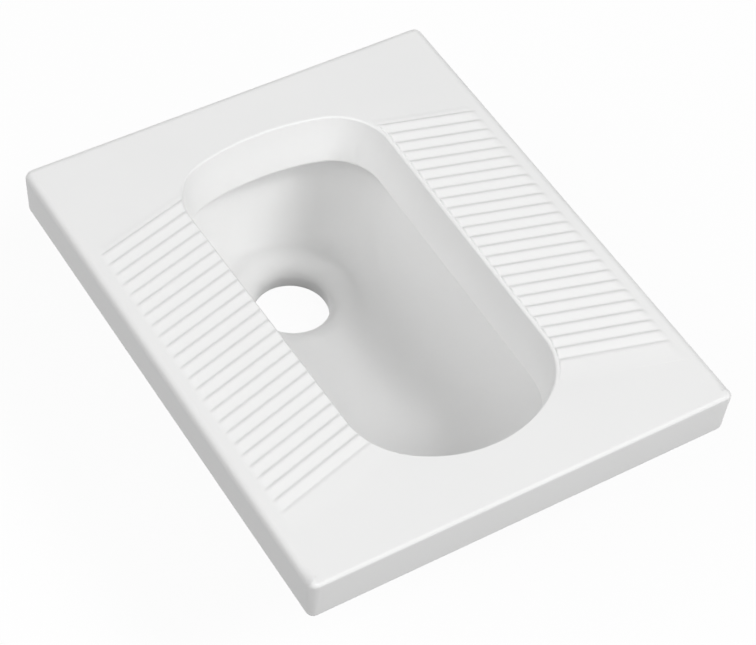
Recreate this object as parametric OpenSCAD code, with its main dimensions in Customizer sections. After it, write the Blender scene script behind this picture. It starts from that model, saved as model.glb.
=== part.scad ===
// Squat pan of glazed vitreous china, with foot treads, a box flush rim,
// a long bowl that falls to a straight outlet, and the two rubber seals
// that join it to the flush pipe and to the drain.
// X runs across the pan, +Y runs to the drain end, +Z is up.
// The origin is the middle of the pan on the floor that the outlet stands on.

/* [Deck] */
// Width of the deck
deck_w = 430; // [400:1:500]
// Length of the deck
deck_l = 530; // [500:1:640]
// Height of the deck above the end of the outlet
pan_h = 182; // [175:1:260]
// Thickness of the deck plate
deck_t = 12; // [9:0.5:15]
// Depth of the skirt that turns down all round
skirt_h = 48; // [40:1:60]
// Thickness of the skirt
skirt_t = 11; // [8:0.5:14]
// Lean of the skirt towards its lower edge, in degrees
skirt_draft = 3; // [1:0.5:5]
// Radius of the deck's corners, seen from above
corner_r = 9; // [9:1:30]
// Radius of the deck's top edge
edge_r = 8.5; // [4:0.5:9]

/* [Mouth] */
// Deck left beyond the far end of the mouth
far_margin = 61; // [55:1:90]
// Deck left before the near end of the mouth
near_margin = 56; // [54:1:90]
// Width of the mouth at its far shoulders
mouth_far_w = 211; // [190:1:224]
// Width of the mouth at its near shoulders
mouth_near_w = 201; // [180:1:218]
// Radius of the nearly straight far end
far_end_r = 252; // [180:1:320]
// Radius of the two far corners of the mouth
far_corner_r = 54; // [40:1:70]
// Radius of the rounded near end
near_end_r = 121; // [105:1:150]
// Radius of the two near corners of the mouth
near_corner_r = 71; // [50:1:85]
// Radius of the lip where the deck turns down into the mouth
lip_r = 4; // [3:0.5:7]

/* [Foot treads] */
// Number of ribs on each side
tread_count = 25; // [15:1:26]
// Distance from rib to rib, square to the ribs
tread_pitch = 13; // [10:0.25:14]
// Height of a rib's crest above the deck
tread_rise = 2.2; // [1.5:0.1:3]
// Thickness left in the valleys between ribs
tread_web = 0.4; // [0.3:0.1:0.8]
// Angle by which the ribs slant back towards the near end
tread_slant = 15.5; // [5:0.5:25]
// Share of the pitch taken by a rib's steep face
tread_steep = 0.14; // [0.1:0.02:0.4]
// Deck left between the ribs and the mouth
tread_gap = 4; // [2:0.5:8]
// Deck left between the ribs and the side of the deck
tread_margin = 14; // [12:1:30]
// Width over which the ribs run out at their outer ends
tread_runout = 9; // [4:1:15]
// Distance of the middle rib from the middle of the deck
tread_shift = 2; // [-10:1:15]

/* [Flush rim] */
// Depth of the rim's lower edge under the deck surface
rim_depth = 57; // [45:1:65]
// Thickness of the rim wall
rim_t = 8; // [6:0.5:10]
// Lean of the rim wall into the mouth at its lower edge
rim_lean = 5; // [0:0.5:7]
// Width of the flush channel behind the rim wall
channel_w = 12; // [8:0.5:16]

/* [Bowl] */
// Thickness of the bowl wall
bowl_t = 9; // [7:0.5:12]
// Depth at which the bowl wall starts to turn in
bowl_turn = 50; // [40:1:60]
// Distance of the drain centre from the far end of the mouth
drain_margin = 77; // [72:1:120]
// Height of the bowl floor beside the drain above the top of the outlet
basin_rise = 12; // [10:1:15]
// Roundness of the bowl across its width
bowl_round_x = 1.7; // [1.4:0.1:3]
// Roundness of the bowl along its length
bowl_round_y = 2.1; // [1.4:0.1:3]
// Width of the funnel by which the bowl floor turns down into the outlet
funnel_w = 25; // [15:1:28]
// Height of that funnel, whose last part lies in the outlet
funnel_h = 20; // [16:1:26]

/* [Outlet] */
// Bore of the outlet
outlet_bore_d = 75; // [70:1:85]
// Thickness of the outlet wall
outlet_t = 12.5; // [8:0.5:14]
// Length of the outlet below the bowl
outlet_len = 20; // [18:1:60]
// Thickness of the flange that joins the outlet to the bowl
outlet_flange_t = 4; // [3:0.5:8]
// Width of that flange
outlet_flange_w = 11; // [8:1:16]
// Depth of the groove that holds the rubber ring
seal_groove = 1.5; // [0.5:0.5:3]
// Height of the rubber ring on the outlet
outlet_seal_h = 6; // [4:0.5:10]
// Thickness of the rubber ring on the outlet
outlet_seal_t = 6; // [4:0.5:8]

/* [Flush inlet] */
// Outer diameter of the flush pipe
flush_pipe_d = 32; // [25:1:34]
// Wall of the rubber seal round the flush pipe
inlet_seal_t = 5; // [3:0.5:6]
// Wall of the inlet horn
horn_t = 6.5; // [5:0.5:8]
// Depth of the inlet axis under the deck surface
inlet_depth = 44; // [42:1:50]
// Flange of the rubber seal outside the horn
inlet_flange_t = 2; // [1:0.5:4]
// Space round the flush pipe in the notch of the skirt
notch_space = 4; // [2:0.5:8]

/* [Supports] */
// Thickness of the webs under the treads
web_t = 10; // [7:0.5:14]
// Depth of the webs under the deck surface
web_depth = 44; // [30:1:46]
// Distance of the webs from the middle of the deck
web_y = 95; // [60:1:120]
// Thickness of the two feet
foot_t = 14; // [10:1:20]
// Length of the two feet
foot_l = 76; // [40:1:90]
// Distance of each foot from the middle line
foot_x = 52; // [40:1:65]
// Distance of the feet from the middle of the deck
foot_y = 120; // [80:1:150]

/* [Hidden] */

china = [0.93, 0.93, 0.92];
rubber = [0.12, 0.12, 0.13];

$fn = 96;
fit_gap = 0.15;     // radial gap between pieces that slide together
past = 1;           // how far a cutting shape runs past what it cuts
hollow_edge_r = 5;  // fillet between the deck plate and its skirt
hollow_corner_r = 9; // radius of the hollow's corners, seen from above
flange_land = 1;    // width of the bowl's foot beyond the outlet flange
seal_land = 1;      // width of the horn's end face beyond the seal's flange
seal_space = 3;     // space between the seal's flange and the skirt

// Heights above the floor
deck_top = pan_h;
deck_under = deck_top - deck_t;
skirt_low = deck_top - skirt_h;
turn_z = deck_top - bowl_turn;
spigot_top = outlet_len;
inlet_z = deck_top - inlet_depth;
basin_low = spigot_top + basin_rise;
funnel_low = basin_low - funnel_h;

// Radii
outlet_r = outlet_bore_d / 2;
spigot_r = outlet_r + outlet_t;
flange_r = spigot_r + outlet_flange_w;
pipe_r = flush_pipe_d / 2;
horn_bore_r = pipe_r + inlet_seal_t + fit_gap;
horn_r = horn_bore_r + horn_t;

// ---------- The mouth's outline: straight sides, round corners and ends ----------
// Each end is one large arc that meets the sides through two corner arcs.
far_y = deck_l / 2 - far_margin;
near_y = -(deck_l / 2 - near_margin);
side_len = far_y - near_y - far_corner_r - near_corner_r;
side_angle = atan((mouth_far_w - mouth_near_w) / 2 / side_len);
side_out = [cos(side_angle), -sin(side_angle)];     // outward normal of the right side
side_up = [sin(side_angle), cos(side_angle)];       // along the right side, to the far end
mid_half_w = mouth_far_w / 2 - (far_y - far_corner_r) * tan(side_angle);
side_reach = mid_half_w * cos(side_angle);          // distance of the side from the origin
far_end_c = [0, far_y - far_end_r];
near_end_c = [0, near_y + near_end_r];

// Centre of the corner arc of radius r that touches the right side and the end arc
function corner_centre(end_c, end_r, r, sign) =
    let (across = side_reach - r,
         off = side_out * end_c - across,
         along = side_up * end_c + sign * sqrt(pow(end_r - r, 2) - off * off))
    side_out * across + side_up * along;

far_corner_c = corner_centre(far_end_c, far_end_r, far_corner_r, 1);
near_corner_c = corner_centre(near_end_c, near_end_r, near_corner_r, -1);
function heading(v) = atan2(v[1], v[0]);
far_turn = heading(far_corner_c - far_end_c);       // where the far corner meets the end arc
near_turn = heading(near_corner_c - near_end_c);

function on_circle(c, r, a) = c + r * [cos(a), sin(a)];
function mirror_x(p) = [-p[0], p[1]];

// One station of the outline is [point, outward normal]
function arc_stations(c, r, a0, a1, steps) =
    [for (i = [0 : steps - 1])
        let (a = a0 + (a1 - a0) * i / steps)
        [on_circle(c, r, a), [cos(a), sin(a)]]];
side_steps = 12;
function side_stations() =
    let (p = near_corner_c + near_corner_r * side_out, q = far_corner_c + far_corner_r * side_out)
    [for (i = [0 : side_steps - 1]) [p + (q - p) * i / side_steps, side_out]];
right_half = concat(
    arc_stations(near_end_c, near_end_r, -90, near_turn, 5),
    arc_stations(near_corner_c, near_corner_r, near_turn, -side_angle, 7),
    side_stations(),
    arc_stations(far_corner_c, far_corner_r, -side_angle, far_turn, 8),
    arc_stations(far_end_c, far_end_r, far_turn, 90, 6));
far_middle = [[0, far_y], [0, 1]];
left_half = [for (i = [len(right_half) - 1 : -1 : 1])
    [mirror_x(right_half[i][0]), mirror_x(right_half[i][1])]];
stations = concat(right_half, [far_middle], left_half);
ring_n = len(stations);

// The outline moved outward by grow, as points and as an area
function mouth_line(grow) = [for (s = stations) s[0] + grow * s[1]];
module mouth_area(grow) {
    polygon(mouth_line(grow));
}

// ---------- Deck ----------
// Section of a block's border: it leans in towards its foot and has a round
// top edge. x = 0 is the corner centre and x = corner is the widest point.
module border_section(corner, edge, height, lean) {
    round_c = [corner - edge, height - edge];
    face_top = round_c + edge * [cos(lean), -sin(lean)];
    face_foot = [face_top[0] - face_top[1] * tan(lean), 0];
    polygon([[0, 0], face_foot, face_top, round_c, [round_c[0], height], [0, height]]);
    translate(round_c) intersection() {
        circle(edge);
        translate([0, -edge]) square([edge, 2 * edge]);
    }
}

// A block with that border, standing on z = 0
module soft_block(width, length, height, corner, edge, lean) {
    half_w = width / 2 - corner;
    half_l = length / 2 - corner;
    for (sx = [0, 1], sy = [0, 1]) mirror([sx, 0, 0]) mirror([0, sy, 0])
        translate([half_w, half_l, 0])
        rotate_extrude(angle = 90)
        border_section(corner, edge, height, lean);
    for (side = [0, 180]) rotate(side) {
        translate([half_w, half_l, 0])
            rotate([90, 0, 0])
            linear_extrude(2 * half_l)
            border_section(corner, edge, height, lean);
        translate([-half_w, half_l, 0])
            rotate([90, 0, 90])
            linear_extrude(2 * half_w)
            border_section(corner, edge, height, lean);
    }
    translate([-half_w, -half_l, 0]) cube([2 * half_w, 2 * half_l, height]);
}

// The hollow under the deck plate, inside the skirt
module deck_hollow(extra) {
    translate([0, 0, skirt_low - extra])
        soft_block(deck_w - 2 * skirt_t, deck_l - 2 * skirt_t, skirt_h - deck_t + extra,
                   hollow_corner_r, hollow_edge_r, 0);
}

module deck() {
    color(china) difference() {
        translate([0, 0, skirt_low])
            soft_block(deck_w, deck_l, skirt_h, corner_r, edge_r, skirt_draft);
        deck_hollow(past);
        translate([0, 0, deck_under - past]) linear_extrude(deck_t + 2 * past) mouth_area(lip_r);
        flush_notch();
    }
}

// Notch in the far skirt through which the flush pipe comes
module flush_notch() {
    notch_r = pipe_r + notch_space;
    translate([0, deck_l / 2 - skirt_t - 2 * past, inlet_z]) rotate([-90, 0, 0]) {
        cylinder(h = skirt_t + 4 * past, r = notch_r);
        translate([-notch_r, 0, 0]) cube([2 * notch_r, skirt_h, skirt_t + 4 * past]);
    }
}

// ---------- Foot treads ----------
// A rib over its pitch, as [share of the pitch, share of the rise]: a short
// steep face towards the near end, then a broad crest that falls more and
// more steeply to the foot of the next rib.
face_steps = 4;
fall_steps = 6;
rib_line = concat(
    [for (i = [0 : face_steps - 1]) [tread_steep * i / face_steps, sin(90 * i / face_steps)]],
    [for (i = [0 : fall_steps - 1]) let (q = i / fall_steps)
        [tread_steep + (1 - tread_steep) * q, 1 - q * q]]);
function tread_line() =
    [for (k = [0 : tread_count - 1], q = rib_line)
        [(k + q[0]) * tread_pitch, tread_web + tread_rise * q[1]]];

module right_tread_form() {
    tread_len = tread_count * tread_pitch;
    inner_x = mouth_near_w / 2 - near_corner_r;
    outer_x = deck_w / 2 - tread_margin;
    top_z = tread_web + tread_rise;
    difference() {
        intersection() {
            translate([mid_half_w, tread_shift, 0])
                rotate(-tread_slant)
                translate([-deck_w / 2, -tread_len / 2, 0])
                rotate([90, 0, 90])
                linear_extrude(deck_w)
                polygon(concat([[0, 0]], tread_line(), [[tread_len, tread_web], [tread_len, 0]]));
            translate([0, deck_l / 2, 0])
                rotate([90, 0, 0])
                linear_extrude(deck_l)
                polygon([[inner_x, 0], [inner_x, top_z + past], [outer_x - tread_runout, top_z + past],
                         [outer_x - tread_runout, top_z], [outer_x, tread_web], [outer_x, 0]]);
        }
        translate([0, 0, -past]) linear_extrude(top_z + 3 * past) mouth_area(tread_gap);
    }
}

module right_tread() {
    color(china) translate([0, 0, deck_top]) right_tread_form();
}

module left_tread() {
    color(china) translate([0, 0, deck_top]) mirror([1, 0, 0]) right_tread_form();
}

// ---------- Bowl ----------
// Each station of the mouth has a fall line. It runs down from the shoulder
// at grow outside the mouth, and turns in along a rounded quarter curve to
// the circle of radius r round the drain.
drain_y = far_y - drain_margin;
drain_c = [0, drain_y];
function fall_point(s, grow, r, v) =
    let (top = s[0] + grow * s[1],
         a = heading(s[0] - drain_c),
         end = on_circle(drain_c, r, a),
         kx = pow(1 - pow(v, bowl_round_x), 1 / bowl_round_x),
         ky = pow(1 - pow(v, bowl_round_y), 1 / bowl_round_y))
    [end[0] + (top[0] - end[0]) * kx, end[1] + (top[1] - end[1]) * ky];

function level_ring(grow, r, z0, z1, v) =
    [for (s = stations) concat(fall_point(s, grow, r, v), [z0 + (z1 - z0) * v])];
function circle_ring(r, z) =
    [for (s = stations) concat(on_circle(drain_c, r, heading(s[0] - drain_c)), [z])];

// The funnel is a quarter ellipse in section, [radius, height] at angle a: at
// 0 degrees it meets the bore of the outlet and at 90 the bowl floor.
function on_funnel(a) =
    [outlet_r + funnel_w * (1 - cos(a)), funnel_low + funnel_h * sin(a)];
funnel_mouth = asin((spigot_top - funnel_low) / funnel_h);  // where it passes into the outlet

wall_steps = 14;            // levels of the bowl wall
funnel_steps = 5;           // levels of the funnel, in the bowl
rim_step = 22.5;            // degrees from point to point of the rim's lip and lower edge
inner_grow = rim_t + channel_w;
inner_r = outlet_r + funnel_w;
outer_r = flange_r + flange_land;
inner_rings = concat(
    [level_ring(inner_grow, inner_r, deck_under, 0, 0)],
    [for (k = [0 : wall_steps])
        level_ring(inner_grow, inner_r, turn_z, basin_low, sin(90 * k / wall_steps))],
    [for (k = [1 : funnel_steps]) let (q = on_funnel(90 - (90 - funnel_mouth) * k / funnel_steps))
        circle_ring(q[0], q[1])]);
outer_rings = concat(
    [for (k = [wall_steps : -1 : 0])
        level_ring(inner_grow + bowl_t, outer_r, turn_z, spigot_top, sin(90 * k / wall_steps))],
    [level_ring(inner_grow + bowl_t, outer_r, deck_under, 0, 0)]);

// Triangles between one ring of points and the next
function band(j, k) =
    [for (i = [0 : ring_n - 1]) let (n = (i + 1) % ring_n)
        each [[j * ring_n + i, k * ring_n + n, j * ring_n + n],
              [j * ring_n + i, k * ring_n + i, k * ring_n + n]]];

// A closed shell: the rings follow each other and the last one meets the first
module ring_shell(rings) {
    count = len(rings);
    polyhedron(
        points = [for (ring = rings) each ring],
        faces = [for (j = [0 : count - 1]) each band(j, (j + 1) % count)],
        convexity = 6);
}

// A solid between the first and the last ring
module ring_solid(rings) {
    count = len(rings);
    polyhedron(
        points = [for (ring = rings) each ring],
        faces = concat(
            [for (j = [0 : count - 2]) each band(j, j + 1)],
            [[for (i = [0 : ring_n - 1]) i]],
            [[for (i = [ring_n - 1 : -1 : 0]) (count - 1) * ring_n + i]]),
        convexity = 6);
}

module bowl() {
    horn_hole_l = inner_grow + bowl_t + past;
    color(china) difference() {
        ring_shell(concat(inner_rings, outer_rings));
        translate([0, far_y, inlet_z])
            rotate([-90, 0, 0])
            cylinder(h = horn_hole_l, r = horn_r + fit_gap);
    }
}

// What the outside of the bowl fills, used to fit the feet to it
module bowl_outside() {
    ring_solid(outer_rings);
}

// ---------- Flush rim: the lip of the mouth and the wall that hangs below it ----------
// The section starts at the deck surface with the round lip, leans into the
// mouth, ends in a round edge and comes back up behind the channel. In a
// section point, x is outward from the mouth and y is up from the deck.
rim_edge_c = [rim_t / 2 - rim_lean, rim_t / 2 - rim_depth];
rim_section = concat(
    [for (a = [90 : rim_step : 180]) on_circle([lip_r, -lip_r], lip_r, a)],
    [for (a = [-180 : rim_step : 0]) on_circle(rim_edge_c, rim_t / 2, a)],
    [[rim_t, -deck_t], [lip_r, -deck_t]]);

module flush_rim() {
    color(china) ring_shell([for (q = rim_section)
        [for (p = mouth_line(q[0])) concat(p, [deck_top + q[1]])]]);
}

// ---------- Outlet ----------
flange_low = spigot_top - outlet_flange_t;
groove_r = spigot_r - seal_groove;
spigot_steps = 4;           // levels of the funnel, in the outlet

module outlet_spigot() {
    color(china) translate(concat(drain_c, 0)) rotate_extrude() polygon([
        [outlet_r, 0],
        [spigot_r, 0],
        [spigot_r, flange_low - outlet_seal_h],
        [groove_r, flange_low - outlet_seal_h],
        [groove_r, flange_low],
        [flange_r, flange_low],
        [flange_r, spigot_top],
        each [for (k = [spigot_steps : -1 : 0]) on_funnel(funnel_mouth * k / spigot_steps)]]);
}

// The ring's outer face slopes, so that it wedges into the pipe's socket
module outlet_seal() {
    ring_r = groove_r + fit_gap;
    ring_low = flange_low - outlet_seal_h;
    color(rubber) translate(concat(drain_c, 0)) rotate_extrude() polygon([
        [ring_r, flange_low],
        [ring_r, ring_low],
        [spigot_r + outlet_seal_t / 3, ring_low],
        [spigot_r + outlet_seal_t, flange_low - outlet_seal_h / 3],
        [spigot_r + outlet_seal_t, flange_low]]);
}

// ---------- Flush inlet ----------
horn_start = far_y + inner_grow;
horn_end = deck_l / 2 - skirt_t - inlet_flange_t - seal_space;

module inlet_horn() {
    color(china) translate([0, horn_start, inlet_z]) rotate([-90, 0, 0]) difference() {
        cylinder(h = horn_end - horn_start, r = horn_r);
        translate([0, 0, -past]) cylinder(h = horn_end - horn_start + 2 * past, r = horn_bore_r);
    }
}

module inlet_seal() {
    sleeve_len = horn_end - horn_start - bowl_t;
    color(rubber) translate([0, horn_end - sleeve_len, inlet_z]) rotate([-90, 0, 0]) difference() {
        union() {
            cylinder(h = sleeve_len, r = horn_bore_r - fit_gap);
            translate([0, 0, sleeve_len]) cylinder(h = inlet_flange_t, r = horn_r - seal_land);
        }
        translate([0, 0, -past]) cylinder(h = sleeve_len + inlet_flange_t + 2 * past, r = pipe_r);
    }
}

// ---------- Webs under the treads and feet under the near half ----------
module web(y) {
    color(china) difference() {
        intersection() {
            translate([0, y - web_t / 2, deck_top - web_depth])
                cube([deck_w / 2, web_t, web_depth - deck_t]);
            deck_hollow(0);
        }
        translate([0, 0, turn_z]) linear_extrude(bowl_turn) mouth_area(inner_grow + bowl_t);
    }
}

module right_near_web() { web(-web_y); }
module right_far_web() { web(web_y); }
module left_near_web() { mirror([1, 0, 0]) web(-web_y); }
module left_far_web() { mirror([1, 0, 0]) web(web_y); }

// A foot has round ends and its top is cut to the outside of the bowl
module foot() {
    straight = foot_l - foot_t;
    color(china) difference() {
        translate([foot_x, -foot_y, 0]) linear_extrude(turn_z) {
            square([foot_t, straight], center = true);
            for (end = [-1, 1]) translate([0, end * straight / 2]) circle(d = foot_t);
        }
        bowl_outside();
    }
}

module right_foot() { foot(); }
module left_foot() { mirror([1, 0, 0]) foot(); }

deck();
left_tread();
right_tread();
flush_rim();
bowl();
outlet_spigot();
outlet_seal();
inlet_horn();
inlet_seal();
left_near_web();
left_far_web();
right_near_web();
right_far_web();
left_foot();
right_foot();
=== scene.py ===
# %% [markdown]
# # A china squat pan
# The pan is one firing of vitreous china: a rectangular deck with two ribbed
# foot treads, a mouth with a hanging flush rim, a long bowl and a short
# outlet. Rubber seals join it to its pipes. The measured model is loaded
# first as a fixed frame. The shapes below are worked out in millimetres in
# that frame, and MM brings them to Blender's metres.

# %% Load the frame
import math

import bmesh
import bpy
import numpy as np
from mathutils import Matrix, Vector
from mathutils.bvhtree import BVHTree


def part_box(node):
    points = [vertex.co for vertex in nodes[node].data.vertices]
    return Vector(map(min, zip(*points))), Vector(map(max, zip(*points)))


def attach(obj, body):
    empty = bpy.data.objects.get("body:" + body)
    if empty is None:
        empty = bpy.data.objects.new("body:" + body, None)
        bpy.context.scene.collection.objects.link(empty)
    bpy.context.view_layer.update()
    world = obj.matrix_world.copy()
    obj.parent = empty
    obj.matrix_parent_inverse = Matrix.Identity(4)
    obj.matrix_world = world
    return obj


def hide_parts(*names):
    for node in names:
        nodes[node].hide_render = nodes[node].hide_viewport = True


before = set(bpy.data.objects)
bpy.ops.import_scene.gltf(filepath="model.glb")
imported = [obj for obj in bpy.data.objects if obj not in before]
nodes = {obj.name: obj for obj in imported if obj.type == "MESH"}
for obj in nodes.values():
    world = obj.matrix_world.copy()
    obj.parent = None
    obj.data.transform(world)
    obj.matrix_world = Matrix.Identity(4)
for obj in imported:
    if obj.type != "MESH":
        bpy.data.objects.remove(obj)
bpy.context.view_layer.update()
MM, PER_METRE = 0.001, 1000

# %% [markdown]
# ## The camera
# The photograph looks down on the pan from beyond its near left corner with
# a long lens. A long lens keeps opposite edges nearly parallel. The camera
# is set by the point it looks at, its heading, its elevation and a slight
# roll, because those four are easy to compare with the photograph.

# %% Camera
deck_low, deck_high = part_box("deck")
DECK_TOP = deck_high.z

camera_data = bpy.data.cameras.new("portrait")
camera = bpy.data.objects.new("portrait", camera_data)
bpy.context.scene.collection.objects.link(camera)
bpy.context.scene.camera = camera

look_at = Vector((-20.23 * MM, -47.34 * MM, DECK_TOP))
heading = math.radians(35.71)
elevation = math.radians(49.39)
roll = math.radians(5.88)
distance = 2233.8 * MM
camera_data.sensor_width = 36.0
camera_data.lens = 120.3

back = Vector((-math.sin(heading) * math.cos(elevation),
               -math.cos(heading) * math.cos(elevation),
               math.sin(elevation)))
level_right = Vector((math.cos(heading), -math.sin(heading), 0.0))
level_up = back.cross(level_right)
right = math.cos(roll) * level_right + math.sin(roll) * level_up
up = math.cos(roll) * level_up - math.sin(roll) * level_right
turn = Matrix((right, up, back)).transposed()
camera.matrix_world = Matrix.Translation(look_at + distance * back) @ turn.to_4x4()
print("camera at", [round(c, 3) for c in camera.matrix_world.translation])

# %% [markdown]
# ## Helpers for lofted castings
# Slip-cast china has no sharp edges: one section flows into the next. A loft
# suits it. Each ring of points is one level of the form, and quads join each
# ring to the next. Rings bunch together where the form turns, which keeps a
# round edge round and a flat face flat.

# %% Points on arcs, and a loft of rings
def sweep(start, end, steps):
    """Angles in radians from start to end, which are given in degrees and both included."""
    return np.radians(np.linspace(start, end, steps + 1))


def arc(centre, radius, start, end, steps):
    """Points on an arc from start to end, in degrees."""
    angles = sweep(start, end, steps)
    return np.column_stack([centre[0] + radius * np.cos(angles), centre[1] + radius * np.sin(angles)])


def at_height(outline, z):
    """A ring: the outline's points at one height, or each at its own."""
    return np.column_stack([outline, np.broadcast_to(z, len(outline))])


def finish_mesh(name, mesh_builder, sharp_angle):
    """Turns a bmesh into a smooth object with its faces outward."""
    bmesh.ops.recalc_face_normals(mesh_builder, faces=mesh_builder.faces)
    mesh = bpy.data.meshes.new(name)
    mesh_builder.to_mesh(mesh)
    mesh_builder.free()
    mesh.shade_smooth()
    mesh.set_sharp_from_angle(angle=math.radians(sharp_angle))
    made = bpy.data.objects.new(name, mesh)
    bpy.context.scene.collection.objects.link(made)
    return made


def loft(name, rings, closed=True, sharp_angle=50):
    """Quads from ring to ring. Closed joins the last ring to the first; otherwise both ends get a cap."""
    builder = bmesh.new()
    grid = [[builder.verts.new(MM * along for along in point) for point in ring] for ring in rings]
    count = len(grid[0])
    for lower, upper in zip(grid, grid[1:] + grid[:1] if closed else grid[1:]):
        for i in range(count):
            n = (i + 1) % count
            builder.faces.new((lower[i], lower[n], upper[n], upper[i]))
    if not closed:
        builder.faces.new(grid[0])
        builder.faces.new(grid[-1])
    made = finish_mesh(name, builder, sharp_angle)
    print(name, len(made.data.vertices), "points")
    return made


# %% [markdown]
# ## The outline of the mouth
# The mouth has nearly straight sides that widen a little towards the drain,
# four corner arcs and two large end arcs. Each arc touches the next, so an
# offset of the outline is again made of arcs about the same centres.

# %% Mouth outline
deck_size = PER_METRE * (deck_high - deck_low)
deck_top = PER_METRE * DECK_TOP
half_w = deck_size.x / 2
half_l = deck_size.y / 2
FAR_MARGIN, NEAR_MARGIN = 61, 56
FAR_WIDTH, NEAR_WIDTH = 211, 201
FAR_END_R, FAR_CORNER_R = 252, 54
NEAR_END_R, NEAR_CORNER_R = 121, 71
NEAR_END_STEPS, NEAR_CORNER_STEPS, SIDE_STEPS, FAR_CORNER_STEPS, FAR_END_STEPS = 18, 26, 24, 34, 10

far_y = half_l - FAR_MARGIN
near_y = NEAR_MARGIN - half_l
side_run = far_y - near_y - FAR_CORNER_R - NEAR_CORNER_R
lean = math.atan((FAR_WIDTH - NEAR_WIDTH) / 2 / side_run)
side_out = np.array([math.cos(lean), -math.sin(lean)])
side_up = np.array([math.sin(lean), math.cos(lean)])
side_reach = (FAR_WIDTH / 2 - (far_y - FAR_CORNER_R) * math.tan(lean)) * math.cos(lean)


def corner_centre(end_centre, end_r, corner_r, sign):
    """Centre of the corner arc that touches both the right side and the end arc."""
    across = side_reach - corner_r
    off = side_out @ end_centre - across
    along = side_up @ end_centre + sign * math.sqrt((end_r - corner_r) ** 2 - off ** 2)
    return side_out * across + side_up * along


def heading_of(v):
    """Direction of a vector in degrees, anticlockwise from +X."""
    return math.degrees(math.atan2(v[1], v[0]))


far_end = np.array([0.0, far_y - FAR_END_R])
near_end = np.array([0.0, near_y + NEAR_END_R])
far_corner = corner_centre(far_end, FAR_END_R, FAR_CORNER_R, 1)
near_corner = corner_centre(near_end, NEAR_END_R, NEAR_CORNER_R, -1)
far_turn = heading_of(far_corner - far_end)
near_turn = heading_of(near_corner - near_end)
side_heading = heading_of(side_out)


def mouth_line(grow):
    """The mouth's outline moved outward by grow: a ring of points, anticlockwise from the near end."""
    side_near = near_corner + (NEAR_CORNER_R + grow) * side_out
    side_far = far_corner + (FAR_CORNER_R + grow) * side_out
    side = side_near + np.linspace(0, 1, SIDE_STEPS + 1)[:, None] * (side_far - side_near)
    right_half = np.vstack([
        arc(near_end, NEAR_END_R + grow, -90, near_turn, NEAR_END_STEPS)[:-1],
        arc(near_corner, NEAR_CORNER_R + grow, near_turn, side_heading, NEAR_CORNER_STEPS)[:-1],
        side[:-1],
        arc(far_corner, FAR_CORNER_R + grow, side_heading, far_turn, FAR_CORNER_STEPS)[:-1],
        arc(far_end, FAR_END_R + grow, far_turn, 90, FAR_END_STEPS)])
    left_half = right_half[-2:0:-1] * [-1, 1]
    return np.vstack([right_half, left_half])


outline = mouth_line(0)
print("mouth", [round(float(s), 1) for s in np.ptp(outline, axis=0)], "mm,", len(outline), "points a ring")

# %% [markdown]
# ## The outline of the deck
# The deck is a plate with a skirt that turns down all round. Its outline has
# as many points as the mouth's, so that a loft can run from the one to the
# other. The near edge is rounded less than the others, so the radius of the
# edge is worked out point by point.

# %% Deck outline
SKIRT_T, SKIRT_LEAN = 11, 3
CORNER_R, EDGE_R, NEAR_EDGE_R = 9, 8.5, 3.5
HOLLOW_CORNER_R, LEAST_CORNER_R = 9, 0.6
CORNER_STEPS, END_STEPS = 14, 26
half_count = len(outline) // 2


def deck_line(inset, r=None):
    """A rectangle with round corners, inset from the deck's edge, with as many points as the mouth's line."""
    r = r or max(CORNER_R - inset, LEAST_CORNER_R)
    x, y = half_w - inset - r, half_l - inset - r
    side_steps = half_count - 2 * (CORNER_STEPS + END_STEPS)
    near_run = np.column_stack([np.linspace(0, x, END_STEPS + 1), np.full(END_STEPS + 1, -y - r)])
    side = np.column_stack([np.full(side_steps + 1, x + r), np.linspace(-y, y, side_steps + 1)])
    right_half = np.vstack([
        near_run[:-1],
        arc((x, -y), r, -90, 0, CORNER_STEPS)[:-1],
        side[:-1],
        arc((x, y), r, 0, 90, CORNER_STEPS)[:-1],
        near_run[::-1] * [1, -1]])
    left_half = right_half[-2:0:-1] * [-1, 1]
    return np.vstack([right_half, left_half])


def hollow_line(inset):
    """The same line for the hollow under the deck, whose corners have a radius of their own."""
    return deck_line(inset, HOLLOW_CORNER_R + SKIRT_T - inset)


deck_edge = deck_line(0)
deck_inward = deck_line(1) - deck_edge
# The share is 1 along the near edge, 0 along the others, and falls round the near corners.
near_share = np.clip((-deck_edge[:, 1] - half_l + CORNER_R) / CORNER_R, 0, 1)
edge_r = EDGE_R + (NEAR_EDGE_R - EDGE_R) * near_share


def edge_line(inset):
    """The deck's edge moved inward, at each point by an inset of its own."""
    return deck_edge + deck_inward * inset[:, None]


def skirt_inset(z):
    """How far the leaning skirt face lies inside the deck's widest line at a height, point by point."""
    slant = math.radians(SKIRT_LEAN)
    widest_z = deck_top - edge_r * (1 + math.sin(slant))
    return edge_r * (1 - math.cos(slant)) + (widest_z - z) * math.tan(slant)


print("edge radius", round(float(edge_r.min()), 1), "to", round(float(edge_r.max()), 1), "mm")

# %% [markdown]
# ## The deck
# From the lip of the mouth the rings run out over the flat top, over the
# rounded edge, down the leaning skirt and back underneath. A bevelled box
# would be quicker, but one loft from the round mouth to the square edge needs
# no cut and has no seam. A spare ring just before and after each round edge
# stops the curve's shading from leaking over the flat.

# %% Deck casting
DECK_T = 12
LIP_R = 2.2
FOOT_R = 2.0
FILLET_R = 6
EDGE_STEPS, FOOT_STEPS, FILLET_STEPS = 12, 5, 6
TOP_SHARES = (0, 0.02, 0.3, 0.7, 0.98, 1)
SPARE, WIDE_SPARE, EDGE_SPARE = 1.0, 1.5, 0.4
skirt_low = PER_METRE * deck_low.z
deck_under = deck_top - DECK_T


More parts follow.
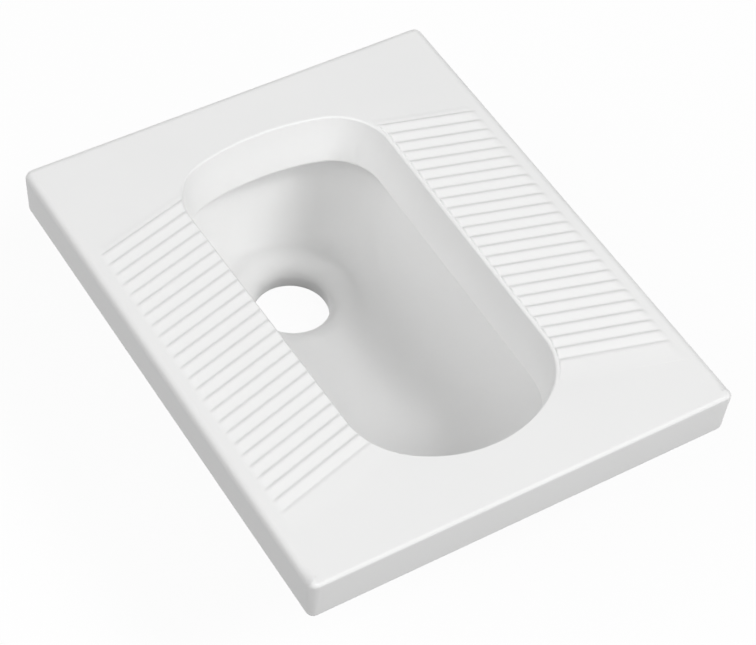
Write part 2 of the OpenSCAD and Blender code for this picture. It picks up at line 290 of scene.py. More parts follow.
def deck_rings():
    """The rings of the deck: flat top, round edge, skirt, skirt foot, and the hollow behind them."""
    inner, outer = mouth_line(LIP_R), deck_line(EDGE_R + SPARE)
    rings = [at_height(inner + share * (outer - inner), deck_top) for share in TOP_SHARES]
    rings.append(at_height(edge_line(edge_r + EDGE_SPARE), deck_top))
    for angle in sweep(90, -SKIRT_LEAN, EDGE_STEPS):
        z = deck_top - edge_r * (1 - math.sin(angle))
        rings.append(at_height(edge_line(edge_r * (1 - math.cos(angle))), z))
    for z in (deck_top - EDGE_R - WIDE_SPARE, (deck_top + skirt_low) / 2, skirt_low + FOOT_R + SPARE):
        rings.append(at_height(edge_line(skirt_inset(z)), z))
    foot_inset = skirt_inset(skirt_low) + FOOT_R
    for angle in sweep(0, 90, FOOT_STEPS):
        z = skirt_low + FOOT_R * (1 - math.sin(angle))
        rings.append(at_height(edge_line(foot_inset - FOOT_R * math.cos(angle)), z))
    for angle in sweep(90, 0, FOOT_STEPS):
        z = skirt_low + FOOT_R * (1 - math.sin(angle))
        rings.append(at_height(hollow_line(SKIRT_T - FOOT_R * (1 - math.cos(angle))), z))
    rings.append(at_height(hollow_line(SKIRT_T), skirt_low + FOOT_R + SPARE))
    rings.append(at_height(hollow_line(SKIRT_T), deck_under - FILLET_R - SPARE))
    for angle in sweep(0, 90, FILLET_STEPS):
        z = deck_under - FILLET_R * (1 - math.sin(angle))
        rings.append(at_height(hollow_line(SKIRT_T + FILLET_R * (1 - math.cos(angle))), z))
    rings.append(at_height(hollow_line(SKIRT_T + FILLET_R + WIDE_SPARE), deck_under))
    rings.append(at_height(inner, deck_under))
    return rings


deck_casting = loft("deck_casting", deck_rings())
print("deck", [round(PER_METRE * s, 1) for s in deck_casting.dimensions], "mm")

# %% [markdown]
# ## The notch for the flush pipe
# The flush pipe comes in under the far skirt through a round-topped notch.
# A cutter of the notch's own outline, run through the skirt, takes it out.

# %% Notch cutter and the cut
PIPE_R, NOTCH_SPACE = 16, 4
INLET_DEPTH, CUT_PAST = 44, 3
NOTCH_DROP = 20
INLET_Z = deck_top - INLET_DEPTH


def cut_with(target, cutter):
    """Cuts target with cutter for good, and takes the cutter away."""
    tool = target.modifiers.new("cut", "BOOLEAN")
    tool.operation = "DIFFERENCE"
    tool.solver = "EXACT"
    tool.object = cutter
    depsgraph = bpy.context.evaluated_depsgraph_get()
    cut_mesh = bpy.data.meshes.new_from_object(target.evaluated_get(depsgraph))
    target.modifiers.clear()
    old = target.data
    target.data = cut_mesh
    cut_mesh.name = old.name
    bpy.data.meshes.remove(old)
    bpy.data.objects.remove(cutter)


def along_y(section, y0, y1):
    """Rings that carry an (x, z) section from one y to another."""
    return [np.column_stack([section[:, 0], np.full(len(section), y), section[:, 1]]) for y in (y0, y1)]


notch_r = PIPE_R + NOTCH_SPACE
notch_section = np.vstack([
    arc((0, INLET_Z), notch_r, 180, 0, 32),
    [[notch_r, skirt_low - NOTCH_DROP], [-notch_r, skirt_low - NOTCH_DROP]]])
notch = loft("notch", along_y(notch_section, half_l - SKIRT_T - CUT_PAST, half_l + CUT_PAST), closed=False)
cut_with(deck_casting, notch)
deck_casting.data.set_sharp_from_angle(angle=math.radians(50))
print("deck with its notch", len(deck_casting.data.polygons), "faces")

# %% [markdown]
# ## The foot treads
# Each tread is a field of ribs that slant back towards the near end. A rib
# rises gently from its foot, rounds over and drops to the foot of the next
# rib, which lies in its shade: that is the thin dark line in the photograph.
# Ahead of the first drop the deck swells up to it, and beyond the last one
# lies a low ripple. The profile is a formula, because a drop that starts
# slowly and ends steeply is then one power.

# %% Rib profile
TREAD_COUNT, TREAD_PITCH = 25, 13.0
ROUND_START, ROUND_POWER = 0.55, 3.2
LEAD_IN, LEAD_HEIGHT, LEAD_POWER = 1.9, 0.8, 1.5
TAIL, TAIL_HEIGHT, TAIL_RISE, TAIL_FALL = 0.6, 0.16, 0.25, 0.35


def smooth(t):
    """0 below 0, 1 above 1, and an even S between."""
    t = np.clip(t, 0, 1)
    return t * t * (3 - 2 * t)


def drop(t):
    """How much of its top a rib has lost over its pitch: nothing up to the crest and all at its end."""
    return np.clip((t - ROUND_START) / (1 - ROUND_START), 0, 1) ** ROUND_POWER


def rib_profile(t):
    """Height of a rib over its pitch, in shares of its rise: an even slope up, a round crest and a drop."""
    pitch = np.linspace(0, 1, 400)
    return (t - drop(t)) / (pitch - drop(pitch)).max()


def field_height(row):
    """The same over the whole field, whose ends are lower. Rows count pitches from the first drop."""
    past = row - (TREAD_COUNT - 1)
    if past >= 0:
        return TAIL_HEIGHT * smooth(past / TAIL_RISE) * smooth((TAIL - past) / TAIL_FALL)
    if row < 0:
        return LEAD_HEIGHT * ((1 + row / LEAD_IN) ** LEAD_POWER - drop(row + 1))
    return rib_profile(row % 1.0)


print(TREAD_COUNT, "ribs,", TREAD_PITCH, "mm apart")

# %% [markdown]
# ## Where the ribs lie
# A rib's inner end rounds down at the lip of the mouth and its outer end runs
# out. The ribs could be separate bars, but as one grid of heights they flow
# into each other. Rows follow the ribs' profile, columns run along a rib from
# the mouth to the side, and both crowd where the surface bends.

# %% Tread points
TREAD_RISE = 1.6
TREAD_SLANT = math.radians(15.5)
TREAD_GAPS = {"left": 1.3, "right": 4.0}
TREAD_MARGIN, TREAD_RUNOUT = 14, 9
TREAD_SHIFT = 2
TREAD_LIFT = 0.05
INNER_RUNOUT = 2.0
SLOPE_ROWS, ROUND_ROWS, TAIL_ROWS = 4, 14, 8
COLUMN_SHARES = np.concatenate([[0, 0.04, 0.1], np.linspace(0.2, 1.2, 7), [2, 5, 20]])
OUTER_CROWDING = 0.9


def rib_start(base, along_rib, gap):
    """Where a rib's line leaves the mouth's outline grown by gap, measured along the rib from base."""
    ring = mouth_line(gap) - base
    off = along_rib[0] * ring[:, 1] - along_rib[1] * ring[:, 0]
    run = ring @ along_rib
    next_off, next_run = np.roll(off, -1), np.roll(run, -1)
    crosses = off * next_off < 0
    share = off[crosses] / (off - next_off)[crosses]
    return (run[crosses] + share * (next_run - run)[crosses]).max()


def tread_rows():
    """Places of the grid's rows, close together where a rib rounds over."""
    marks = np.concatenate([np.linspace(0, ROUND_START, SLOPE_ROWS + 1)[:-1],
                            np.linspace(ROUND_START, 1, ROUND_ROWS + 1)[:-1]])
    rows = [k + t for k in range(-math.ceil(LEAD_IN), TREAD_COUNT - 1) for t in marks if k + t >= -LEAD_IN]
    return rows + list(TREAD_COUNT - 1 + np.linspace(0, TAIL, TAIL_ROWS + 1))


def tread_field(side_name, side):
    """The field's top points. It is worked out for the right side, and side -1 mirrors it."""
    along_rib = np.array([math.cos(TREAD_SLANT), -math.sin(TREAD_SLANT)])
    across_ribs = np.array([math.sin(TREAD_SLANT), math.cos(TREAD_SLANT)])
    mid = np.array([side_reach / math.cos(lean), TREAD_SHIFT])
    tops = []
    for row in tread_rows():
        base = mid + (row - (TREAD_COUNT - 1) / 2) * TREAD_PITCH * across_ribs
        start = rib_start(base, along_rib, TREAD_GAPS[side_name])
        end = (half_w - TREAD_MARGIN - base[0]) / along_rib[0]
        inner_columns = start + INNER_RUNOUT * COLUMN_SHARES
        outer_columns = end - TREAD_RUNOUT * COLUMN_SHARES * OUTER_CROWDING
        s = np.concatenate([inner_columns, outer_columns[::-1]])
        s = np.maximum.accumulate(np.clip(s, start, end))
        plan = base + s[:, None] * along_rib
        inner_end = 1 - np.clip((s - start) / INNER_RUNOUT, 0, 1)
        ends = np.sqrt(1 - inner_end ** 2) * smooth((end - s) / TREAD_RUNOUT)
        height = TREAD_LIFT + TREAD_RISE * field_height(row) * ends
        tops.append(np.column_stack([side * plan[:, 0], plan[:, 1], deck_top + height]))
    return np.array(tops)


print(len(tread_rows()), "rows in each tread")

# %% [markdown]
# ## From heights to a solid
# A flat copy of the grid just below the deck's top and a wall round the edge
# close each tread. It is rooted a little in the deck, so no gap can show.

# %% Tread solids
TREAD_ROOT = 0.4


def heightfield(name, tops, floor_z):
    """A closed solid under a grid of top points."""
    builder = bmesh.new()
    rows, columns = tops.shape[:2]
    upper = [[builder.verts.new(MM * c for c in p) for p in row] for row in tops]
    lower = [[builder.verts.new((MM * p[0], MM * p[1], MM * floor_z)) for p in row] for row in tops]
    for j in range(rows - 1):
        for i in range(columns - 1):
            builder.faces.new((upper[j][i], upper[j][i + 1], upper[j + 1][i + 1], upper[j + 1][i]))
            builder.faces.new((lower[j][i], lower[j + 1][i], lower[j + 1][i + 1], lower[j][i + 1]))
    for j in range(rows - 1):
        for i in (0, columns - 1):
            builder.faces.new((upper[j][i], upper[j + 1][i], lower[j + 1][i], lower[j][i]))
    for i in range(columns - 1):
        for j in (0, rows - 1):
            builder.faces.new((upper[j][i], upper[j][i + 1], lower[j][i + 1], lower[j][i]))
    bmesh.ops.dissolve_degenerate(builder, dist=1e-7, edges=builder.edges)
    return finish_mesh(name, builder, 75)


treads = {}
for side_name, side in (("left", -1), ("right", 1)):
    name = side_name + "_tread_ribs"
    treads[side_name] = heightfield(name, tread_field(side_name, side), deck_top - TREAD_ROOT)
    print(name, [round(PER_METRE * s, 1) for s in treads[side_name].dimensions], "mm")

# %% [markdown]
# ## The flush rim
# The lip of the mouth rolls over into a wall that hangs in the bowl and
# hides the flush channel. Its section is swept round the outline: a quarter
# round lip, a wall that leans in a little, a round lower edge and the back.

# %% Rim casting
RIM_T, RIM_LEAN = 8, 5
RIM_DRAFT, RIM_SINK = 0.1, 0.5
LIP_STEPS, LOW_EDGE_STEPS = 10, 16
WALL_SHARES = (0.04, 0.5, 0.96)
rim_depth = deck_top - PER_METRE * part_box("flush_rim")[0].z


def rim_section():
    """Points (outward, down from the deck) of the rim's section."""
    edge = (RIM_T / 2 - RIM_LEAN, RIM_T / 2 - rim_depth)
    wall_run = rim_depth - LIP_R - RIM_T / 2
    lip = arc((LIP_R, -LIP_R), LIP_R, 90, 180, LIP_STEPS)
    wall = np.array([[-RIM_LEAN * share, -LIP_R - share * wall_run] for share in WALL_SHARES])
    low_edge = arc(edge, RIM_T / 2, 180, 360, LOW_EDGE_STEPS)
    behind = np.array([[RIM_T - RIM_DRAFT, -DECK_T], [LIP_R + RIM_SINK, -DECK_T]])
    return np.vstack([lip, wall, low_edge, behind])


rim_rings = [at_height(mouth_line(outward), deck_top + down) for outward, down in rim_section()]
rim_casting = loft("rim_casting", rim_rings, sharp_angle=60)

# %% [markdown]
# ## The bowl
# From the channel behind the rim the bowl wall drops, turns in and falls to
# the drain. Every point of the outline has its own fall line, which is a
# rounded quarter curve from the shoulder to the drain's edge. Together they
# turn the long outline into the round drain with no crease.

# %% Bowl casting
CHANNEL_W = 12
RIM_TO_WALL = RIM_T + CHANNEL_W
BOWL_T, BOWL_TURN, BOWL_STEPS = 9, 50, 36
ROUND_X, ROUND_Y = 1.7, 2.1
DRAIN_MARGIN, BASIN_RISE = 77, 12
FUNNEL_W, FUNNEL_H = 25, 20
FUNNEL_STEPS, BORE_STEPS = 16, 8
OUTLET_R, OUTLET_T = 37.5, 12.5
FLANGE_T, FLANGE_W = 4, 11
DRAIN_LAND = 1
spigot_top = PER_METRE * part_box("outlet_spigot")[1].z
spigot_r = OUTLET_R + OUTLET_T
flange_r = spigot_r + FLANGE_W
drain = np.array([0.0, far_y - DRAIN_MARGIN])
turn_z = deck_top - BOWL_TURN
basin_low = spigot_top + BASIN_RISE
funnel_low = basin_low - FUNNEL_H
funnel_mouth = math.degrees(math.asin((spigot_top - funnel_low) / FUNNEL_H))
fall_headings = np.radians([heading_of(p - drain) for p in outline])
fall_ends = np.column_stack([np.cos(fall_headings), np.sin(fall_headings)])


def level_ring(grow, r, z0, z1, v):
    """One level of the bowl: v is 0 at the shoulder and 1 at the drain's edge.

    ROUND_X and ROUND_Y round each fall line. With both at 2 it would be a quarter ellipse.
    """
    top = mouth_line(grow)
    end = drain + r * fall_ends
    keep = np.array([(1 - v ** n) ** (1 / n) for n in (ROUND_X, ROUND_Y)])
    return at_height(end + (top - end) * keep, z0 + (z1 - z0) * v)


def funnel(start, end, steps):
    """Points (radius, height) of the quarter ellipse by which the bowl floor turns down into the bore."""
    angles = sweep(start, end, steps)
    radii = OUTLET_R + FUNNEL_W * (1 - np.cos(angles))
    return np.column_stack([radii, funnel_low + FUNNEL_H * np.sin(angles)])


def bowl_rings():
    """Down the inside of the bowl, round the drain's edge, and up the outside to a fillet under the deck."""
    inner_r, land_r, wall = OUTLET_R + FUNNEL_W, flange_r + DRAIN_LAND, RIM_TO_WALL + BOWL_T
    levels = np.sin(sweep(0, 90, BOWL_STEPS))
    rings = [level_ring(RIM_TO_WALL, inner_r, deck_under, deck_under, 0)]
    rings += [level_ring(RIM_TO_WALL, inner_r, turn_z, basin_low, v) for v in levels]
    rings += [at_height(drain + r * fall_ends, z) for r, z in funnel(90, funnel_mouth, FUNNEL_STEPS)[1:]]
    rings.append(at_height(drain + land_r * fall_ends, spigot_top))
    rings += [level_ring(wall, land_r, turn_z, spigot_top, v) for v in levels[::-2][1:]]
    for angle in sweep(0, 90, FILLET_STEPS):
        z = deck_under - FILLET_R * (1 - math.sin(angle))
        rings.append(at_height(mouth_line(wall + FILLET_R * (1 - math.cos(angle))), z))
    return rings


bowl_casting = loft("bowl_casting", bowl_rings(), sharp_angle=60)

# %% [markdown]
# ## The hole for the flush horn
# The horn passes through the far wall of the bowl. The wall curves there, so
# the hole is cut by a cylinder a hair wider than the horn.

# %% Hole for the horn
HORN_GAP, HORN_CUT_PAST = 0.15, 2
horn_low, horn_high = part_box("inlet_horn")
HORN_R = PER_METRE * (horn_high.x - horn_low.x) / 2
horn_section = arc((0, INLET_Z), HORN_R + HORN_GAP, 0, 360, 64)[:-1]
bowl_outside = far_y + RIM_TO_WALL + BOWL_T
horn_hole = loft("horn_hole", along_y(horn_section, far_y, bowl_outside + HORN_CUT_PAST), closed=False)
cut_with(bowl_casting, horn_hole)
bowl_casting.data.set_sharp_from_angle(angle=math.radians(60))
print("bowl", len(bowl_casting.data.polygons), "faces")

# %% [markdown]
# ## Round pieces
# The outlet, the horn and their seals are round about an axis, so each is one
# section carried round it. A section is a list of corners, and a helper
# rounds each corner by its own radius: cast china is rounder than moulded
# rubber.

# %% Round sections and turned pieces
TURN_STEPS = 96


def round_off(corners, radii, steps=6):
    """The corners of a closed section, each rounded by its radius. A radius of 0 keeps the corner."""
    corners = np.array(corners, dtype=float)
    points = []
    for i, r in enumerate(radii):
        here = corners[i]
        if r == 0:
            points.append(here)
            continue
        ways = [corners[i - 1] - here, corners[(i + 1) % len(corners)] - here]
        back_way, next_way = [way / np.linalg.norm(way) for way in ways]
        half = math.acos(np.clip(back_way @ next_way, -1, 1)) / 2
        bisector = (back_way + next_way) / np.linalg.norm(back_way + next_way)
        middle = here + bisector * r / math.sin(half)
        first = heading_of(here + back_way * r / math.tan(half) - middle)
        last = heading_of(here + next_way * r / math.tan(half) - middle)
        points.extend(arc(middle, r, first, first + (last - first + 180) % 360 - 180, steps))
    return np.array(points)


def turned(name, section, centre, axis="z"):
    """Carries a (radius, along) section round an axis through centre."""
    turn_points = arc((0, 0), 1, 0, 360, TURN_STEPS)[:-1]
    rings = []
    for r, along in section:
        across = np.array(centre) + r * turn_points
        run = np.full(TURN_STEPS, along)
        columns = (across[:, 0], across[:, 1], run) if axis == "z" else (across[:, 0], run, across[:, 1])
        rings.append(np.column_stack(columns))
    return loft(name, rings, sharp_angle=40)


# %% [markdown]
# ## The outlet and its ring
# The outlet takes over the bowl's funnel and carries it down into the bore.
# A groove under its flange holds the rubber ring that seals it in the drain
# pipe. The funnel's points come from the bowl's own function, so the two
# meet without a step.

# %% Outlet and its ring
SEAL_GROOVE, OUTLET_SEAL_H, OUTLET_SEAL_T = 1.5, 6, 6
SEAL_GAP = 0.15
flange_low = spigot_top - FLANGE_T
ring_low = flange_low - OUTLET_SEAL_H
groove_r = spigot_r - SEAL_GROOVE
funnel_end = [tuple(p) for p in funnel(funnel_mouth, 0, BORE_STEPS)]
outlet_section = round_off(
    [(OUTLET_R, 0), (spigot_r, 0), (spigot_r, ring_low), (groove_r, ring_low), (groove_r, flange_low),
     (flange_r, flange_low), (flange_r, spigot_top)] + funnel_end,
    [2.5, 3, 0.6, 0.4, 0.4, 1.5, 0] + [0] * len(funnel_end))
outlet_casting = turned("outlet_casting", outlet_section, drain)
seal_out = spigot_r + OUTLET_SEAL_T
outlet_ring = turned("outlet_ring", round_off(
    [(groove_r + SEAL_GAP, flange_low), (groove_r + SEAL_GAP, ring_low),
     (spigot_r + OUTLET_SEAL_T / 3, ring_low), (seal_out, flange_low - OUTLET_SEAL_H / 3),
     (seal_out, flange_low)],
    [0.3, 0.5, 0.7, 0.8, 0.5]), drain)

# %% [markdown]
# ## The horn and its seal
# The horn leads the flush water into the channel behind the rim. A rubber
# sleeve lines it and grips the pipe, and its collar covers the horn's end.
# Both lie along the pan, so they are turned about an axis along Y.

# %% Horn and its seal
SLEEVE_T, COLLAR_T, COLLAR_INSET = 5, 2, 1
HORN_TO_SKIRT = 5
sleeve_r, collar_r = PIPE_R + SLEEVE_T, HORN_R - COLLAR_INSET
horn_start, horn_end = far_y + RIM_TO_WALL, half_l - SKIRT_T - HORN_TO_SKIRT
collar_end = horn_end + COLLAR_T
horn_casting = turned("horn_casting", round_off(
    [(sleeve_r + SEAL_GAP, horn_start), (HORN_R, horn_start), (HORN_R, horn_end),
     (sleeve_r + SEAL_GAP, horn_end)],
    [0.5, 0.5, 2.5, 1]), (0, INLET_Z), axis="y")
inlet_sleeve = turned("inlet_sleeve", round_off(
    [(PIPE_R, bowl_outside), (sleeve_r, bowl_outside), (sleeve_r, horn_end), (collar_r, horn_end),
     (collar_r, collar_end), (PIPE_R, collar_end)],
    [0.5, 0.5, 0, 0.5, 0.9, 0.9]), (0, INLET_Z), axis="y")

# %% [markdown]
# ## Webs
# The webs stand between the bowl and the skirt and carry a person's weight.
# Each is a bar with a round lower edge whose ends and top flare into the
# china round it. A loft along the bar can flare, which a plain box can't.

# %% Webs
WEB_T, WEB_DEPTH, WEB_Y = 10, 44, 95
WEB_FLARE, WEB_EDGE_R = 3, 3
WEB_ROOT, WEB_SINK = 1, 2


def web_section(grow):
    """Outline (along the pan, up) of a web made thicker and deeper by grow."""
    half, low = WEB_T / 2 + grow, deck_top - WEB_DEPTH - grow
    flare_z = deck_under - WEB_FLARE
    return np.vstack([
        [[-half - WEB_FLARE, deck_under + WEB_ROOT]],
        arc((-half - WEB_FLARE, flare_z), WEB_FLARE, 90, 0, 5),
        arc((-half + WEB_EDGE_R, low + WEB_EDGE_R), WEB_EDGE_R, 180, 270, 6),
        arc((half - WEB_EDGE_R, low + WEB_EDGE_R), WEB_EDGE_R, 270, 360, 6),
        arc((half + WEB_FLARE, flare_z), WEB_FLARE, 180, 90, 5),
        [[half + WEB_FLARE, deck_under + WEB_ROOT]]])


def web(name, side, y):
    """A bar from inside the bowl's wall to inside the skirt, flared at both."""
    bowl_x = (side_reach + RIM_TO_WALL + BOWL_T) / math.cos(lean) + y * math.tan(lean)
    skirt_x = half_w - SKIRT_T
    flare = [(WEB_FLARE * (1 - math.sin(a)), WEB_FLARE * (1 - math.cos(a))) for a in sweep(90, 0, 5)]
    stations = [(bowl_x - WEB_SINK, WEB_FLARE)] + [(bowl_x + run, grow) for run, grow in flare]
    stations += [(skirt_x - run, grow) for run, grow in reversed(flare)] + [(skirt_x + WEB_SINK, WEB_FLARE)]
    rings = []
    for x, grow in stations:
        section = web_section(grow)
        rings.append(np.column_stack([np.full(len(section), side * x), y + section[:, 0], section[:, 1]]))
    return loft(name, rings, closed=False)


webs = {}
for side_name, side in (("left", -1), ("right", 1)):
    for end_name, y in (("near", -WEB_Y), ("far", WEB_Y)):
        name = f"{side_name}_{end_name}_web"
        webs[name] = web(name + "_casting", side, y)

# %% [markdown]
# ## Feet
# The feet stand on the floor, and their tops flare along the outside of the
# bowl. The height of the bowl over each point of a foot is found by a ray
# that goes straight up, so the top fits the bowl however it curves.

# %% Feet
FOOT_T, FOOT_L, FOOT_X, FOOT_Y = 14, 76, 52, 120
FOOT_FLARE, FOOT_ROOT = 7, 3
bowl_tree = BVHTree.FromObject(bowl_casting, bpy.context.evaluated_depsgraph_get())


def bowl_over(x, y):
    """Height of the bowl's outside over a point of the floor."""
    hit = bowl_tree.ray_cast(Vector((x, y, 0)) * MM, Vector((0, 0, 1)))[0]
    return PER_METRE * hit.z


def foot_line(side, grow):
    """A bar with round ends, seen from above, made wider by grow."""
    end_y = (FOOT_L - FOOT_T) / 2
    r = FOOT_T / 2 + grow
    straight = np.column_stack([np.full(9, r), np.linspace(-end_y, end_y, 9)])
    line = np.vstack([straight[:-1], arc((0, end_y), r, 0, 180, 16)[:-1],
                      -straight[:-1], arc((0, -end_y), r, 180, 360, 16)[:-1]])
    return line + [side * FOOT_X, -FOOT_Y]


def foot(name, side):
    """A bar from the floor up into the bowl, flared where it meets the bowl."""
    rings = [at_height(foot_line(side, -FOOT_R * (1 - math.cos(a))), FOOT_R * (1 - math.sin(a)))
             for a in sweep(90, 0, 4)]
    for angle in sweep(0, 90, 8):
        line = foot_line(side, FOOT_FLARE * (1 - math.cos(angle)))
        tops = [bowl_over(x, y) - FOOT_FLARE * (1 - math.sin(angle)) for x, y in line]
        rings.append(np.column_stack([line, tops]))
    rings.append(rings[-1] + [0, 0, FOOT_ROOT])
    return loft(name, rings, closed=False)


feet = {}
for side_name, side in (("left", -1), ("right", 1)):
    feet[side_name + "_foot"] = foot(side_name + "_foot_casting", side)

# %% [markdown]
# ## What the new pieces stand for
# Each piece rides on the one body and hides the plain node whose place it
# fills. One table does this for all of them, so that no piece can be left out.

# %% Rides and replacements
china_pieces = {"deck": deck_casting, "left_tread": treads["left"], "right_tread": treads["right"],
                "flush_rim": rim_casting, "bowl": bowl_casting, "outlet_spigot": outlet_casting,
                "inlet_horn": horn_casting, **webs, **feet}
rubber_pieces = {"outlet_seal": outlet_ring, "inlet_seal": inlet_sleeve}
for pieces, slot in ((china_pieces, "china"), (rubber_pieces, "rubber")):
    for hidden, piece in pieces.items():
        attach(piece, "root")
        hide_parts(hidden)
print(len(china_pieces), "china pieces and", len(rubber_pieces), "rubber pieces")

# %% [markdown]
# ## Shader maths
# A finish is written as a small sum. A Wire is any value on its way through
# a material, and its operators add the Math nodes, so that 1 - mask reads
# the same here as on paper.

# %% Wires
class Wire:
    """A node's output, to be used in arithmetic."""

    def __init__(self, recipe, socket):
        self.recipe = recipe
        self.socket = socket

    def __add__(self, other):
        return self.recipe.maths("ADD", self, other)

    __radd__ = __add__

    def __sub__(self, other):
        return self.recipe.maths("SUBTRACT", self, other)

    def __rsub__(self, other):
        return self.recipe.maths("SUBTRACT", other, self)

    def __mul__(self, other):
        return self.recipe.maths("MULTIPLY", self, other)

    __rmul__ = __mul__


# %% [markdown]
# ## Recipes
# A Recipe holds the nodes of one material or of the world. Every node comes
# from its method node(), and short methods give a name to each kind that the
# finishes use more than once.

# %% Recipes
class Recipe:
    """The nodes of a material or of the world, put together one by one."""

    def __init__(self, owner):
        self.owner = owner
        owner.use_nodes = True
        self.tree = owner.node_tree
        self.tree.nodes.clear()

    def node(self, kind, settings=None, inputs=None, output=0):
        """Adds a node: its settings first, then the values or links of its sockets."""
        made = self.tree.nodes.new(kind)
        for key, value in (settings or {}).items():
            setattr(made, key, value)
        for key, value in (inputs or {}).items():
            if isinstance(value, Wire):
                self.tree.links.new(value.socket, made.inputs[key])
            else:
                made.inputs[key].default_value = value
        return None if output is None else Wire(self, made.outputs[output])

    def maths(self, operation, *values, clamp=False):
        settings = {"operation": operation, "use_clamp": clamp}
        return self.node("ShaderNodeMath", settings, dict(enumerate(values)))

    def mix_shader(self, factor, first, second):
        return self.node("ShaderNodeMixShader", None, {0: factor, 1: first, 2: second})

    def mix_colours(self, factor, first, second):
        colours = {0: factor, 6: first, 7: second}
        return self.node("ShaderNodeMix", {"data_type": "RGBA"}, colours, output=2)

    def place(self):
        """The point's place in the piece's own frame, in metres."""
        return self.node("ShaderNodeTexCoord", output="Object")

    def noise(self, place, scale, detail, roughness):
        return self.node("ShaderNodeTexNoise", {"noise_dimensions": "3D"},
                         {"Vector": place, "Scale": scale, "Detail": detail, "Roughness": roughness})

    def bump(self, height, strength, distance):
        """A normal that leans with a height, whose full range stands for a distance in metres."""
        values = {"Strength": strength, "Distance": distance, "Height": height}
        return self.node("ShaderNodeBump", None, values)

    def output(self, shader, kind="ShaderNodeOutputMaterial"):
        self.node(kind, None, {"Surface": shader}, output=None)
        return self.owner


# %% [markdown]
# ## Glazed china
# The glaze is thick and even, with a soft wide gloss. Fired glaze is never
# quite flat: it has a slow swell of a few hundredths of a millimetre and
# tiny differences of tone. Where china stands in the kiln the glaze is wiped
# off, and the bare body is duller, rougher and a shade warmer.

# %% China finish
WIPED_FADE, WIPED_WANDER = 0.6 * MM, 1.2 * MM


def china(name, bare_below=None):
    """Glazed china, with the bare body showing below a height."""
    recipe = Recipe(bpy.data.materials.new(name))
    place = recipe.place()
    drift = recipe.noise(place, 9.0, 2.0, 0.45)
    fine = recipe.noise(place, 420.0, 2.0, 0.6)
    swell = recipe.noise(place, 22.0, 1.0, 0.4)
    glaze = recipe.node("ShaderNodeBsdfPrincipled", None, {
        "Base Color": recipe.mix_colours(drift, (0.885, 0.886, 0.883, 1), (0.915, 0.915, 0.911, 1)),
        "Roughness": 0.27 + 0.05 * drift,
        "IOR": 1.5,
        "Specular IOR Level": 0.3,
        "Normal": recipe.bump(swell + 0.02 * fine, 0.12, 0.6 * MM)})
    if bare_below is None:
        return recipe.output(glaze)
    grain = recipe.noise(place, 900.0, 4.0, 0.7)
    bare = recipe.node("ShaderNodeBsdfPrincipled", None, {
        "Base Color": recipe.mix_colours(grain, (0.70, 0.68, 0.64, 1), (0.80, 0.78, 0.74, 1)),
        "Roughness": 0.72 + 0.15 * grain,
        "Normal": recipe.bump(grain, 0.35, 0.3 * MM)})
    height = recipe.node("ShaderNodeSeparateXYZ", None, {0: place}, output="Z")
    below_edge = bare_below - (height + WIPED_WANDER * (drift - 0.5))
    wiped = recipe.maths("MULTIPLY", below_edge, 1 / WIPED_FADE, clamp=True)
    return recipe.output(recipe.mix_shader(wiped, glaze, bare))


deck_china = china("deck_china", bare_below=deck_low.z + 1.2 * MM)
china_top = china("china_top")
standing_china = china("standing_china", bare_below=1.5 * MM)

# %% [markdown]
# ## Rubber
# The seals are moulded rubber: nearly black, matt, with a faint bloom. One
# noise could do, but two keep the broad bloom apart from the fine pores.

# %% Rubber finish
def rubber(name):
    recipe = Recipe(bpy.data.materials.new(name))
    place = recipe.place()
    bloom = recipe.noise(place, 60.0, 3.0, 0.6)
    pores = recipe.noise(place, 1400.0, 2.0, 0.5)
    skin = recipe.node("ShaderNodeBsdfPrincipled", None, {
        "Base Color": recipe.mix_colours(bloom, (0.022, 0.022, 0.024, 1), (0.050, 0.050, 0.052, 1)),
        "Roughness": 0.5 + 0.2 * bloom,
        "Normal": recipe.bump(pores, 0.25, 0.2 * MM)})
    return recipe.output(skin)


seal_rubber = rubber("seal_rubber")

# %% [markdown]
# ## Dressing the pieces
# The deck, the outlet and the feet show bare body where they stand in the
# kiln. All other china is glazed all over. The plain nodes get the same
# finishes, in case one is shown.

# %% Give every piece its finish
def dress(piece, material):
    piece.data.materials.clear()
    piece.data.materials.append(material)
    for polygon in piece.data.polygons:
        polygon.material_index = 0


for name, piece in china_pieces.items():
    stands = name in ("outlet_spigot", "left_foot", "right_foot")
    dress(piece, deck_china if name == "deck" else standing_china if stands else china_top)
for piece in rubber_pieces.values():
    dress(piece, seal_rubber)
for name, cad_node in nodes.items():
    dress(cad_node, seal_rubber if name.endswith("_seal") else china_top)
print("finishes:", sorted({m.name for m in bpy.data.materials}))

# %% [markdown]
# ## Floor
# The pan is shown on a plain white floor in a white world. The camera and
# reflections see both white, the floor with a faint shadow, while they light
# the china no more than dark ones would, so the skirt keeps its shade. Two
# floors, each hidden from some of the rays, could do this too, but one
# material with a mask for the kind of ray is easier to keep in step.

# %% Floor
def seen_directly(recipe):
    """1 for rays from the camera and for those in a reflection or through glass, 0 for light on its way."""
    kinds = ("Camera", "Glossy", "Transmission")
    rays = [recipe.node("ShaderNodeLightPath", output=f"Is {kind} Ray") for kind in kinds]
    return recipe.maths("MINIMUM", rays[0] + rays[1] + rays[2], 1.0)


FLOOR_HALF, GLOW_SHARE = 20.0, 0.94


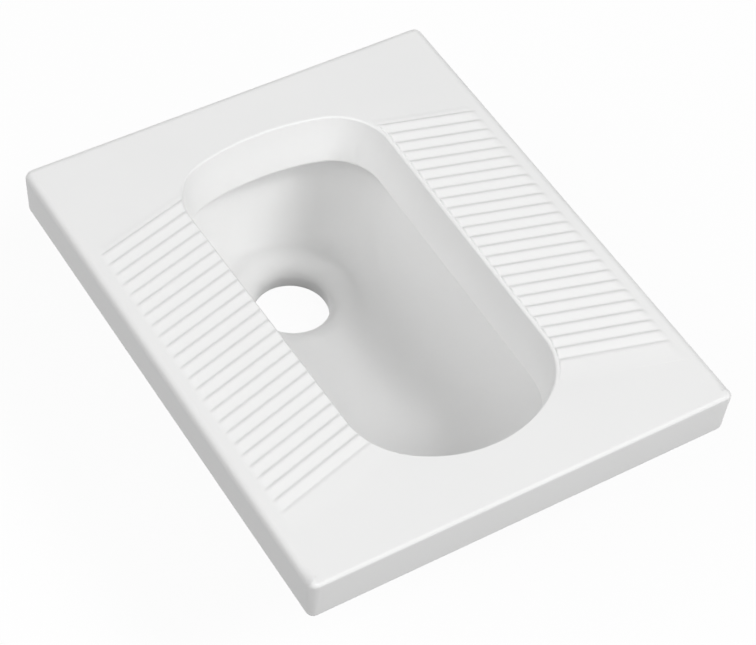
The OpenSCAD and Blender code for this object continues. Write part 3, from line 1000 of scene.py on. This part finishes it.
def plain_floor():
    builder = bmesh.new()
    corners = [(x * FLOOR_HALF, y * FLOOR_HALF, 0.0) for x, y in ((-1, -1), (1, -1), (1, 1), (-1, 1))]
    builder.faces.new([builder.verts.new(corner) for corner in corners])
    floor = finish_mesh("floor", builder, 30)
    recipe = Recipe(bpy.data.materials.new("floor_white"))
    grey = recipe.node("ShaderNodeBsdfDiffuse", None, {"Color": (0.12, 0.12, 0.12, 1)})
    white = recipe.node("ShaderNodeBsdfDiffuse", None, {"Color": (0.95, 0.95, 0.95, 1)})
    glow = recipe.node("ShaderNodeEmission", None, {"Color": (1, 1, 1, 1), "Strength": 1.0})
    shown = recipe.mix_shader(GLOW_SHARE, white, glow)
    dress(floor, recipe.output(recipe.mix_shader(seen_directly(recipe), grey, shown)))
    print("floor", 2 * FLOOR_HALF, "m wide")


plain_floor()

# %% [markdown]
# ## Lamps and world
# The smallest lamp, between the near end and the right, gives the form its
# shade. Four larger ones fill it from the left, the near end, high on the
# near left, and the far end. They stand far off, so the light hardly fades
# across the deck. Reflections do not show the lamps, because a lamp and a
# white world together would wash out a glazed deck seen at a low angle.

# %% Lamps and world
LAMP_DISTANCE = 7.0


def soft_box(name, heading_deg, elevation_deg, size, strength):
    """A square lamp that faces the pan from a heading (0 is the near end, 90 the right) and an elevation."""
    data = bpy.data.lights.new(name, "AREA")
    data.shape = "SQUARE"
    data.size = size
    data.energy = strength
    lamp = bpy.data.objects.new(name, data)
    h, e = math.radians(heading_deg), math.radians(elevation_deg)
    out = Vector((math.sin(h) * math.cos(e), -math.cos(h) * math.cos(e), math.sin(e)))
    lamp.location = Vector((0, 0, DECK_TOP)) + LAMP_DISTANCE * out
    lamp.rotation_mode = "QUATERNION"
    lamp.rotation_quaternion = out.to_track_quat("Z", "Y")
    lamp.visible_glossy = False
    bpy.context.scene.collection.objects.link(lamp)
    print(name, "lamp,", strength, "W")


soft_box("key", 41, 49, 2.2, 250)
soft_box("left_fill", 270, 38, 6.0, 258)
soft_box("near_fill", 0, 16, 3.0, 146)
soft_box("high_fill", 330, 50, 6.0, 58)
soft_box("far_fill", 180, 35, 6.0, 112)

world = bpy.data.worlds.new("studio")
bpy.context.scene.world = world
sky = Recipe(world)
dim = sky.node("ShaderNodeBackground", None, {"Color": (1, 1, 1, 1), "Strength": 0.01})
bright = sky.node("ShaderNodeBackground", None, {"Color": (1, 1, 1, 1), "Strength": 1.0})
sky.output(sky.mix_shader(seen_directly(sky), dim, bright), "ShaderNodeOutputWorld")
bpy.context.scene.view_settings.view_transform = "Standard"
